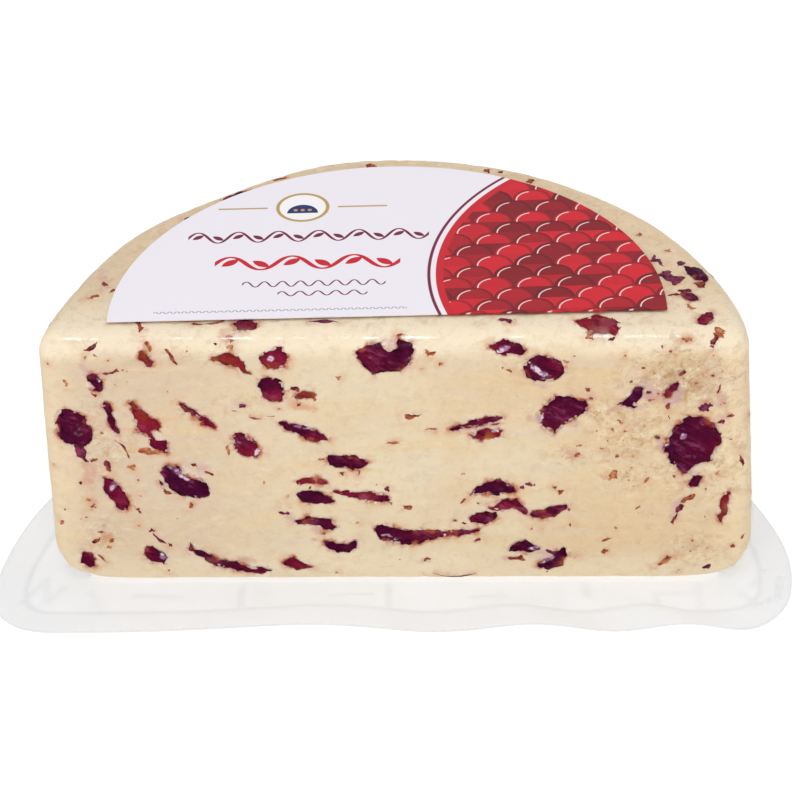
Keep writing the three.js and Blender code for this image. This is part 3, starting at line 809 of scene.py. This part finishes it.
fruit_tree, scrap_tree = tree_of_piece(cranberries), tree_of_piece(scraps)
STAINED_DEPTH = 6                    # how far back the marks of the cut face run
CRUMBLY = (                          # x, z, half width, half height, strength: looser patches
    (80, 70, 16, 12, 1.0), (66, 52, 12, 9, 0.8), (58, 59, 6, 4, 0.9), (84, 44, 14, 14, 0.8),
    (64, 38, 8, 6, 0.6), (84, 12, 9, 6, 0.5), (-82, 50, 8, 12, 0.6), (-84, 18, 6, 6, 0.6),
    (-54, 80, 12, 5, 0.3), (-44, 62, 8, 6, 0.3), (48, 44, 6, 4, 0.5), (36, 76, 6, 4, 0.4),
)
SMEARS = (                           # x, z, half length, half width, tilt, hue: 0 lavender to 1 orange
    (-86, 42, 4, 2, -60, 0.4), (-80, 73, 5, 2, 12, 0.3), (-85.4, 74.6, 1.4, 3, 20, 0),
    (-82, 66.4, 3, 1.6, -40, 0.7), (-68.2, 84.4, 1.8, 4, 0, 0.9), (-82.6, 16.4, 3.4, 3, 0, 0.9),
    (-86.6, 37, 2.4, 4, 0, 0.5), (-85.4, 29, 2.6, 2.6, 0, 0.7), (-55, 41.2, 5.4, 2.2, -32, 0.3),
    (-66.4, 35.4, 1.6, 4, 30, 0.4), (-58, 28.4, 1.6, 1.8, 0, 0.8), (-43, 62, 3, 1.8, 10, 0),
    (-27.4, 63, 2.8, 2.2, 0, 0.6), (-24, 61, 4, 1.2, 0, 1), (-15.4, 38.8, 1.8, 1.6, 0, 0.7),
    (-10.8, 39, 1.6, 1.8, 0, 0.6), (-22.6, 19.2, 3.4, 1.8, -15, 0.3),
    (-31, 24.6, 3.6, 2.4, -20, 0.1), (-17, 12.6, 5.6, 2.2, 0, 0.4), (1.2, 13.8, 1.4, 2.2, 0, 0.5),
    (9, 16, 4.6, 1.2, 6, 0.4), (31, 9, 3.6, 1.6, 0, 0.2), (41.6, 9.4, 4.2, 2, 20, 0),
    (37, 12.6, 5, 2.2, 0, 0.1), (27, 28.6, 6, 1.6, 8, 0.6), (19.4, 29.6, 2.8, 1.6, 45, 0.8),
    (22.6, 33, 2, 1.4, 40, 0.6), (41, 68.4, 3.4, 1.4, 0, 0.2), (40.4, 57, 1.8, 2.6, -20, 0.2),
    (37.6, 57.4, 2.2, 1.4, 0, 0.5), (50.4, 55.4, 3, 1.6, 20, 0.4), (54.2, 65, 2.4, 2, 0, 0.4),
    (47, 46.6, 3.4, 2.2, 0, 0.5), (51, 44.6, 2.4, 1.6, 0, 0.7), (70, 67.4, 3.4, 3, 0, 0),
    (72.6, 64, 3.6, 2.2, 0, 0.5), (77.4, 62.6, 2.2, 2, 0, 0.1), (66.4, 61, 5, 1.3, -6, 0.2),
    (59, 59.4, 3, 1.6, 30, 0.5), (67, 54.8, 1.8, 2, 0, 0.5), (57.6, 42.4, 3.4, 1.2, 0, 0.8),
    (59.4, 38, 3.6, 2.4, 30, 0.8), (91.4, 57.2, 3, 1.4, 10, 0.4), (90.4, 62.6, 1.8, 4, -15, 0.3),
    (85.6, 62.2, 2.8, 2.4, 50, 0.6), (73.4, 48.4, 1.6, 4, 10, 0.1), (82.2, 38.8, 2.6, 2, 0, 0.1),
    (79.8, 29.4, 4.6, 1.8, 36, 0.3), (77.6, 24.4, 1.8, 3.8, -14, 0.3),
    (80.6, 82.6, 2.4, 1.8, 0, 0.6), (74, 7.6, 5.6, 2.2, 41, 0.9), (93.6, 13.4, 2.2, 1.8, 0, 0.5),
    (79, 9.6, 3, 1.2, 0, 0.9), (78.4, 67, 2.6, 4, -35, 0.2), (28, 55.4, 4, 0.9, 10, 0.3),
    (22, 54, 6, 1.4, 10, 0.4), (0, 48.8, 3.6, 1, 0, 0.8), (11, 53.4, 4.4, 1.4, 0, 0.6),
    (-20, 34, 5, 1, -6, 0.3), (-46, 84, 2.6, 3.6, 0, 0.7), (-43.6, 9, 6, 2, -10, 0.4),
    (7.6, 8.6, 2.6, 1.6, 0, 0.3), (-88, 48, 3, 2, -50, 0.3),
)


def gaps_to(tree, points):
    """How far points lie from the nearest face of a tree."""
    return np.array([tree.find_nearest(Vector(p))[3] for p in points])


def roughened(points, loose):
    """How deep the curd's surface lies under a plain one: slow swells, crumbs, and lost flakes."""
    depths = []
    for p, patch in zip(points, loose * ramp(np.abs(points[:, 0]), 97, 89)):
        swell = noise.noise(Vector(p) / 22) * 0.25
        crumb = noise.fractal(Vector((p[0] / 5, p[1] / 5, p[2] / 3)), 1.0, 2.0, 4) * 0.16
        flake = max(0, noise.noise(Vector((p[0] / 3.1, p[1] / 3.1, p[2] / 2.4)))) * patch
        depths.append(flake * 1.5 + 0.12 - (swell + crumb) * 0.5)
    return np.array(depths)


def crumble(cheese):
    """Lays the curd round the fruit and roughens it; stores the marks that its material reads."""
    points, normals = points_of(cheese), normals_of(cheese)
    x, y, z = points.T
    on_face = y < STAINED_DEPTH
    loose = np.where(on_face, 0.08, 0.2)
    for *patch, strength in CRUMBLY:
        loose = np.maximum(loose, strength * np.exp(-in_ellipse(x, z, (*patch, 0)) ** 2) * on_face)
    wipes = [np.exp(-in_ellipse(x, z, ellipse) ** 2) for *ellipse, _ in SMEARS]
    smear, tint = sum(wipes), sum(wipe * hue for wipe, (*_, hue) in zip(wipes, SMEARS))
    chalk = sum(ramp(in_ellipse(x, z, bite), 1.5, 0.5) for bite in BITES)
    stray = np.array([max(0, noise.noise(Vector(p) / 11) * 2.4 - 0.9) for p in points])
    gap = gaps_to(fruit_tree, points)
    sunk = np.maximum(roughened(points, loose) + ramp(gap, 0.8, 0) * 0.07, -0.1)
    move_points(cheese, points - normals * sunk[:, None])
    mark(cheese, "fruit_gap", np.minimum(gap, gaps_to(scrap_tree, points) + 0.9))
    mark(cheese, "loose", loose)
    mark(cheese, "smear", np.where(on_face, smear, stray))
    mark(cheese, "smear_hue", np.where(on_face, tint / np.maximum(smear, 0.01), 0.4))
    mark(cheese, "chalk", np.clip(chalk * on_face, 0, 1) * ramp(gap, 1.6, 0.6))


crumble(cheese)


class Curd(Paint):
    """The cheese's material, with the marks and noises that its tones, crumbs and stains share."""

    def __init__(self):
        super().__init__("cheese_paste", {
            "Roughness": 0.6,
            "Specular IOR Level": 0.15,
            "Subsurface Weight": 0.15,
            "Subsurface Radius": (4.0 * MM, 2.6 * MM, 1.6 * MM),
            "Subsurface Scale": 1.0,
        })
        self.across, self.deep, self.up = self.axes()
        self.gap, self.loose = self.attribute("fruit_gap"), self.attribute("loose")
        self.clouds = self.grain(26 * MM, 3, 0.5)
        self.crumbs = self.grain(5 * MM, 5, 0.62, self.stretched(1, 1, 2.2))
        self.blots = self.grain(3 * MM, 4, 0.7, distortion=0.6)
        self.fine = self.grain(1.1 * MM, 4, 0.6)
        self.scratch = self.grain(1.5 * MM, 3, 0.6, self.slanted(-0.7, 2.4, 0.8), distortion=0.4)

    def tones(self):
        """Cream, yellower to the right and duller to the left; painted light makes it paler low down,
        at the ends and further back, with a painted highlight along the top edge and painted shade on
        the top behind it.
        """
        across, deep, up, clouds = self.across, self.deep, self.up, self.clouds
        drag = self.grain(9 * MM, 3, 0.6, self.stretched(0.35, 1, 1.6))
        wander = (clouds - 0.5) * 90
        tone = clouds.rise(0.35, 0.65).mix(srgb(229, 212, 181), srgb(225, 203, 169))
        tone = (across + wander).rise(0, 70).mix(tone, srgb(223, 197, 159))
        tone = (across + wander).rise(-20, -70).mix(tone, srgb(218, 195, 166))
        tone = (drag.rise(0.52, 0.66) * 0.55).mix(tone, srgb(227, 201, 156))
        tone = (drag.rise(0.46, 0.34) * 0.4).mix(tone, srgb(220, 204, 184))
        # Painted bounce light from the table: paler low on the cut face.
        foot = (up + (clouds - 0.5) * 12).rise(17, 4)
        tone = (foot * 0.75).mix(tone, srgb(240, 222, 190))
        # Painted light: paler further back, where the lamps reach the side less.
        tone = (deep.rise(8, 18) * 0.5).mix(tone, srgb(246, 224, 190))
        # Painted sheen of the film at the two ends of the cut face.
        ends = across.math("ABSOLUTE", across).rise(84, 96) * deep.rise(12, 4)
        tone = (ends * 0.5).mix(tone, srgb(240, 220, 184))
        # Painted highlight along the top edge of the cut face.
        high = (up + (clouds - 0.5) * 8).rise(76, 82)
        tone = (high * deep.rise(30, 5) * 0.85).mix(tone, srgb(247, 232, 205))
        # Painted shade: darker over the top further back, less so to the right.
        painted_top_shade = high * deep.rise(6, 30) * (0.8 - across.rise(30, 70) * 0.45)
        return painted_top_shade.mix(tone, srgb(220, 196, 164))

    def crumbled(self, colour):
        """White and golden crumbs, strong where the curd is loose."""
        loose, crumbs, blots, scratch = self.loose, self.crumbs, self.blots, self.scratch
        colour = (crumbs.rise(0.52, 0.74) * (loose * 0.5 + 0.25)).mix(colour, srgb(242, 228, 202))
        colour = (crumbs.rise(0.47, 0.3) * (loose * 0.85 + 0.1)).mix(colour, srgb(204, 172, 134))
        dull = loose.rise(0.4, 1.0) * self.across.rise(60, 74) * self.up.rise(48, 66)
        colour = (dull * 0.7).mix(colour, srgb(206, 176, 138))
        mauve = self.grain(12 * MM, 2, 0.5).rise(0.5, 0.62) * loose
        colour = (mauve * crumbs.rise(0.35, 0.6) * 0.6).mix(colour, srgb(216, 190, 176))
        colour = (scratch.rise(0.54, 0.66) * loose * 0.45).mix(colour, srgb(190, 154, 116))
        colour = (scratch.rise(0.44, 0.32) * loose * 0.45).mix(colour, srgb(244, 228, 200))
        colour = (blots.rise(0.52, 0.62) * (loose * 0.85 + 0.04)).mix(colour, srgb(184, 146, 104))
        colour = (blots.rise(0.46, 0.36) * loose * 0.7).mix(colour, srgb(244, 228, 198))
        return (self.fine.rise(0.6, 0.7) * (loose * 0.8 + 0.04)).mix(colour, srgb(170, 130, 92))

    def stained(self, colour):
        """What the fruit leaves: juice round it, smears drawn by the wire, and white broken curd."""
        gap, fine, blots = self.gap, self.fine, self.blots
        side = self.grain(6 * MM, 3, 0.6)
        hue, wet = side.rise(0.48, 0.56), side.rise(0.44, 0.62)
        ragged = gap + (fine - 0.5) * 1.8 + (self.crumbs - 0.5) * 2.6
        far = ragged.rise(3.4, 0.8) * wet * 0.6
        colour = far.mix(colour, hue.mix(srgb(216, 184, 178), srgb(216, 176, 140)))
        smear, tint = self.attribute("smear"), self.attribute("smear_hue")
        pink = (smear * (blots * 1.5 + fine * 0.7 - 0.2)).rise(0.33, 0.98) * 0.6
        stain = (tint + (fine - 0.5) * 0.8).rise(0.15, 0.75)
        colour = pink.mix(colour, stain.mix(srgb(200, 162, 168), srgb(210, 146, 112)))
        near = ragged.rise(1.3, 0.3) * wet * 0.85
        colour = near.mix(colour, hue.mix(srgb(176, 112, 138), srgb(186, 118, 88)))
        fringe = (gap + (fine - 0.5) * 1.5 + (blots - 0.5)).rise(0.55, 0.1) * (wet * 0.7 + 0.3)
        colour = fringe.mix(colour, hue.mix(srgb(118, 40, 76), srgb(150, 68, 46)))
        white = self.attribute("chalk") * (blots * 1.6)
        colour = (white.rise(0.3, 0.8) * 0.55).mix(colour, srgb(232, 216, 208))
        sparks = (fine * 0.5 + blots * 0.5).rise(0.6, 0.66) * gap.rise(1.3, 0.5)
        return (sparks * 0.7).mix(colour, srgb(246, 236, 226))

    def relief(self):
        loose = self.loose
        lumps = (self.crumbs * 0.8 + self.blots * 0.4) * (loose * 1.6 + 0.4)
        return lumps + self.fine * 0.5 * (loose + 0.15) + self.scratch * loose * 0.6


def cheese_paste():
    curd = Curd()
    colour = curd.stained(curd.crumbled(curd.tones()))
    curd.feed({"Base Color": colour, "Normal": curd.bump(curd.relief(), 0.6 * MM, 0.7)})
    return curd.material


cheese.data.materials.append(cheese_paste())
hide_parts("cheese")
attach(cheese, "root")


# --- Film ----------------------------------------------------------------------------------------
# Clear vacuum film: a formed web drawn tight over the half wheel and a flat web under it, sealed
# together in a flange round the foot. One closed bag, wrapped ring by ring, with a waved hem.

SEAL_BAND = 9.0                      # how wide the sealed band is, inwards from the hem
WEB_UNDERSIDE = 0.05                 # how high the flat web's underside lies,
BAND_TOP = 0.4                       # the sealed band's top,
SKIN_LOW = 0.45                      # and the formed web where it starts, inside the band
SLACK = 0.1                          # how far the tight film stands off the curd
HULL_STEPS, HEM_STEPS = 900, 1200
flange_points = points_of(nodes["film_flange"])
plan = [Vector(p[:2]) for p in flange_points]
hull = evenly(np.array([plan[i] for i in convex_hull_2d(plan)]), HULL_STEPS)
near_hull = [np.hypot(*(hull - p[:2]).T).min() < 3 for p in flange_points]
hem_corners = outline_of(flange_points[near_hull])


def softened(values, steps):
    """A closed run of values averaged over a number of steps either way."""
    window = np.hanning(2 * steps + 3)[1:-1]
    ring = np.r_[values[-steps - 1:-1], values, values[1:steps + 1]]
    return np.convolve(ring, window / window.sum(), "valid")


hem_loop = np.c_[[softened(run, 12) for run in evenly(hem_corners, HEM_STEPS).T]].T


def on_wall_bearings(loop):
    """A closed outline read off at the bearing of each of the wheel's own columns."""
    reach = np.interp(bearings(wall), *by_bearing(loop[:-1]), period=2 * math.pi)
    return MIDDLE + (wall - MIDDLE) * (reach / reaches(wall))[:, None]


hem = on_wall_bearings(hem_loop)
seam = on_wall_bearings(pulled_in(hem_loop, SEAL_BAND))


def hem_heights():
    """How high the CAD hem's underside stands, at each column of the bag."""
    outer = []
    for corner in hem_corners:
        here = np.hypot(*(flange_points[:, :2] - corner).T) < 0.01
        outer.append((*corner, flange_points[here, 2].min()))
    outer = np.array(outer)
    order = np.argsort(bearings(outer))
    lift = np.interp(bearings(wall), bearings(outer)[order], outer[order, 2], period=2 * math.pi)
    return softened(lift, 5)


lift = hem_heights()
tight = half_wheel_rings(-SLACK)[UNDER_RINGS + 4:]   # from low on the foot upwards


def bag_rings():
    """Rings of the closed bag: flat web, hem, sealed band, then the skin up over the wheel."""
    foot, foot_height = tight[0][:, :2], tight[0][0, 2]

    def ring(first, second, share, z):
        return at_height(first + (second - first) * share, z)

    rings = [ring(MIDDLE, wall, share, WEB_UNDERSIDE) for share in np.linspace(0, 1, 5)]
    rings += [ring(wall, seam, t, WEB_UNDERSIDE + lift * t ** 2) for t in np.linspace(0, 1, 9)[1:]]
    rings += [ring(seam, hem, t, WEB_UNDERSIDE + lift) for t in np.linspace(0, 1, 6)[1:]]
    rings += [ring(seam, hem, t, BAND_TOP + lift) for t in np.linspace(1, 0, 8)]
    for t in np.linspace(1, 0, 26)[1:-1]:
        tent = (foot_height - SKIN_LOW) * math.exp(-t / 0.1) * (1 - t)
        rings.append(ring(foot, seam, t, SKIN_LOW + lift * t ** 2 + tent))
    return rings + tight


film = wrapped("film_bag", bag_rings())


def vacuum_film():
    paint = Paint("vacuum_film", {"Roughness": 0.35, "Specular IOR Level": 0.2})
    wire, tree = paint.wire, paint.tree
    haze, line = paint.attribute("haze"), paint.attribute("fold")
    creases = paint.grain(9 * MM, 3, 0.5, distortion=0.8)
    normal = paint.bump(creases, 0.5 * MM, 0.6)
    # Milky white, greyed along the creases and the seal line as painted shade.
    milk_and_fold_shade = line.mix(srgb(224, 225, 227), srgb(190, 190, 196))
    paint.feed({"Base Color": milk_and_fold_shade, "Normal": normal})
    clear = wire.node("ShaderNodeBsdfTransparent", None, {"Color": (1, 1, 1, 1)})
    gloss = wire.node("ShaderNodeBsdfGlossy", None, {"Roughness": 0.2, "Normal": normal})
    cloud = Wire(tree, paint.shader.outputs[0])
    facing = wire.node("ShaderNodeLayerWeight", None, {"Blend": 0.5, "Normal": normal}, out=1)
    broken = paint.grain(16 * MM, 3, 0.6, paint.stretched(1, 0.2, 0.2)).rise(0.48, 0.6)
    shine = paint.attribute("shine") * broken * 0.1
    edge = facing.math("POWER", facing, 5) * 0.2 + shine + 0.0015
    body = wire.node("ShaderNodeMixShader", None, {0: haze, 1: clear, 2: cloud})
    skin = wire.node("ShaderNodeMixShader", None, {0: edge, 1: body, 2: gloss})
    out = tree.nodes["Material Output"]
    tree.links.new(skin.socket, out.inputs["Surface"])
    return paint.material


FOLDS = (                            # a crease in the flange, greyed as painted shade: its two ends and how wide it is
    ((-107, -8), (-101, 3), 0.7), ((-101, 3), (-100, -9), 0.7), ((-100, -9), (-96, -1), 0.7),
    ((-45, -1), (-45, -11), 0.6), ((-3.5, -1), (-3, -11), 0.7), ((52, -1), (53, -6), 0.9),
    ((72, -5), (72.5, -12), 0.6), ((84, -1), (84.5, -12), 0.6), ((72, -5), (84, -4), 0.4),
    ((96, -6), (100, -12), 0.6), ((100, -12), (106, -9), 0.6), ((106, -9), (107, 0), 0.6),
    ((99, -3), (103, 4), 0.7), ((-75, -5), (-62, -6), 0.5), ((-88, -3), (-84, -12), 0.5),
    ((-20, -6), (-8, -5), 0.4), ((20, -7), (30, -6), 0.4), ((60, 88), (66, 93), 0.6),
    ((-30, 98), (-31, 107), 0.6), ((20, 99), (21, 107), 0.6), ((-78, 66), (-86, 72), 0.6),
)


def cloud_film(film):
    """Marks how milky the film is, clear where it is tight, and where it is creased or sealed, which
    its material greys as painted shade.
    """
    points = points_of(film)
    at = bearings(points)
    out = reaches(points) - np.interp(at, *by_bearing(wall[:-1]), period=2 * math.pi)
    from_seam = reaches(points) - np.interp(at, *by_bearing(seam[:-1]), period=2 * math.pi)
    slant = np.interp(at, bearings(wall)[:-1], np.hypot(*(hem - seam).T)[:-1], period=2 * math.pi)
    from_seam = from_seam * SEAL_BAND / slant
    clear_of_foot = ramp(-on_form(points)[2], 0.3, 1.5)
    ends = ramp(np.abs(points[:, 0]), 80, 108)
    milky = clear_of_foot * (0.24 + 0.02 * np.clip(from_seam / 2, -1, 1) + 0.04 * ends)
    fold = 0.4 * np.exp(-(from_seam / 0.7) ** 2)
    for (x0, y0), (x1, y1), width in FOLDS:
        run = np.array((x1 - x0, y1 - y0))
        lean = points[:, :2] - (x0, y0)
        share = np.clip(lean @ run / (run @ run), 0, 1)
        off = np.hypot(*(lean - share[:, None] * run).T)
        fold = np.maximum(fold, 0.32 * np.exp(-(off / width / 1.6) ** 2) * (points[:, 2] < 9))
    mark(film, "haze", milky + fold * 0.12 * clear_of_foot)
    mark(film, "fold", np.clip(fold, 0, 1))
    brow = np.exp(-((points[:, 2] - 83.8) / 1.3) ** 2)
    mark(film, "shine", brow * np.where(points[:, 1] < 6, 1, 0.4) + 0.12 * (out > 2))


cloud_film(film)
film.data.materials.append(vacuum_film())
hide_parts("film_flange")
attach(film, "root")


# --- Label ---------------------------------------------------------------------------------------
# A half-round coated paper label stuck on top of the film.

class Print(Paint):
    """The label's paper, with printed shapes placed by their millimetres across and up it."""

    SOFT = 0.12                      # how far the ink of a shape's edge has run
    TURN = math.radians(1.8)         # the label was stuck on a little askew, about its own middle
    CENTRE = (-1.6, 9.7)

    def __init__(self):
        super().__init__("label_paper", {"Roughness": 0.4, "Specular IOR Level": 0.3})
        x, y, _ = self.axes()
        (x0, y0), cos, sin = self.CENTRE, math.cos(self.TURN), math.sin(self.TURN)
        self.x = (x - x0) * cos + (y - y0) * sin + x0
        self.y = (y - y0) * cos - (x - x0) * sin + y0

    def between(self, left, right):
        return (self.x - (left + right) / 2).within((right - left) / 2, self.SOFT)

    def stroke(self, left, right, level, swing, wave, thin, thick):
        """A pen-drawn wave from left to right: thick and thin by turns."""
        turn = (self.x - left) * (2 * math.pi / wave)
        line = self.y - level - turn.math("SINE", turn) * swing
        nib = turn.math("COSINE", turn)
        width = nib * nib * (thick - thin) + thin
        drawn = (line.math("ABSOLUTE", line) - width).rise(self.SOFT, -self.SOFT)
        return drawn * self.between(left, right)

    def leaves(self, left, right, level, swing, wave, long, wide):
        """A pointed leaf in the hollow of each half of a wave, leaning by turns."""
        run = (self.x - left) * (2 / wave)
        sign = 1 - (run.whole() * 0.5).fraction() * 4
        along = (run.fraction() - 0.5) * (wave / 2)
        up = self.y - level - sign * swing * 0.12
        u = (along * 0.82 + up * sign * 0.57) / long
        v = (up * 0.82 - along * sign * 0.57) / wide
        leaf = v.math("ABSOLUTE", v) + u * u
        return leaf.rise(1.08, 0.92) * self.between(left, right)

    def disc(self, across, up, radius):
        u, v = (self.x - across) / radius, (self.y - up) / radius
        return (u * u + v * v).rise(1.03, 0.97)


def vines(label_print, colour):
    """Rows of waves in the left part of the label, with leaves on the two tall ones."""
    burgundy, red, grey = srgb(122, 18, 58), srgb(204, 18, 40), srgb(168, 164, 176)
    for left, right, level, swing, wave, thin, thick, ink in (
        (-58, 10, 51, 2.7, 11.33, 0.26, 0.8, burgundy),
        (-50, 2, 37.4, 3.3, 17.33, 0.36, 1.15, red),
        (-42, -2, 26.6, 1.3, 5.0, 0.2, 0.5, burgundy),
        (-32, -7, 21.6, 1.1, 5.0, 0.2, 0.45, burgundy),
        (-66, 4, 13.4, 0.35, 2.0, 0.1, 0.34, grey),
    ):
        colour = label_print.stroke(left, right, level, swing, wave, thin, thick).mix(colour, ink)
        if swing > 2:
            row = label_print.leaves(left, right, level, swing, wave, wave * 0.17, wave * 0.075)
            colour = row.mix(colour, ink)
    return colour


def badge(label_print, colour):
    """A gold-ringed white disc with a dark half disc and three dots, between two short rules."""
    gold, navy, white = srgb(190, 158, 92), srgb(34, 40, 104), srgb(250, 248, 250)
    middle, level, base = -26, 66, 63
    colour = label_print.disc(middle, level, 7.6).mix(colour, gold)
    colour = label_print.disc(middle, level, 6.6).mix(colour, white)
    upper = (label_print.y - base).rise(-label_print.SOFT, label_print.SOFT)
    colour = (label_print.disc(middle, base, 4.4) * upper).mix(colour, navy)
    for step in (-2, 0, 2):
        colour = label_print.disc(middle + step, 64.6, 0.6).mix(colour, gold)
    for left, right in ((-50, -36), (-16, -2)):
        line = (label_print.y - level).within(0.35, label_print.SOFT)
        colour = (label_print.between(left, right) * line).mix(colour, gold)
    return colour


def scale_paint(across, up, column, row):
    """One rounded scale: a red of its own, darker to its edge, with a pale stroke at the left."""
    spot = across.node("ShaderNodeCombineXYZ", None, {0: column, 1: row})
    hue = across.node("ShaderNodeTexWhiteNoise", {"noise_dimensions": "2D"}, {"Vector": spot})
    skin = hue.rise(0.1, 0.9).mix(srgb(134, 6, 24), srgb(214, 22, 42))
    far = across * across + up * up
    skin = (far.rise(0.55, 1.0) * 0.75).mix(skin, srgb(84, 2, 16))
    rim = (far - 0.62).within(0.05, 0.03) * across.rise(-0.1, -0.2)
    return rim.mix(skin, srgb(250, 222, 220))


def scale_field(label_print, colour):
    """Overlapping scales at the right of the label, in a round field edged with red and a line."""
    x, y, radius = label_print.x, label_print.y, 5.6
    u, v = x - 78, y - 30
    far = u * u + v * v
    arc = far.math("SQRT", far) - 64
    row, up = (y / radius).whole(), (y / radius).fraction()
    column = x / (2 * radius) + (row * 0.5).fraction()
    across = (column.fraction() - 0.5) * 2
    behind = (column + 0.5).fraction() * 2 - 1
    front = (across * across + up * up).rise(1.02, 0.98)
    scales = front.mix(
        scale_paint(behind, up - 1, (column + 0.5).whole(), row + 1),
        scale_paint(across, up, column.whole() + 0.5, row),
    )
    colour = (arc - 4).within(0.45, label_print.SOFT).mix(colour, srgb(122, 18, 58))
    colour = arc.rise(2.2, 2.0).mix(colour, srgb(206, 22, 42))
    return arc.rise(label_print.SOFT, -label_print.SOFT).mix(colour, scales)


def label_paper():
    label_print = Print()
    ground = srgb(243, 238, 246)
    colour = scale_field(label_print, badge(label_print, vines(label_print, ground)))
    label_print.feed({"Base Color": colour})
    return label_print.material


label = nodes["label"]
label.data.materials.clear()
label.data.materials.append(label_paper())
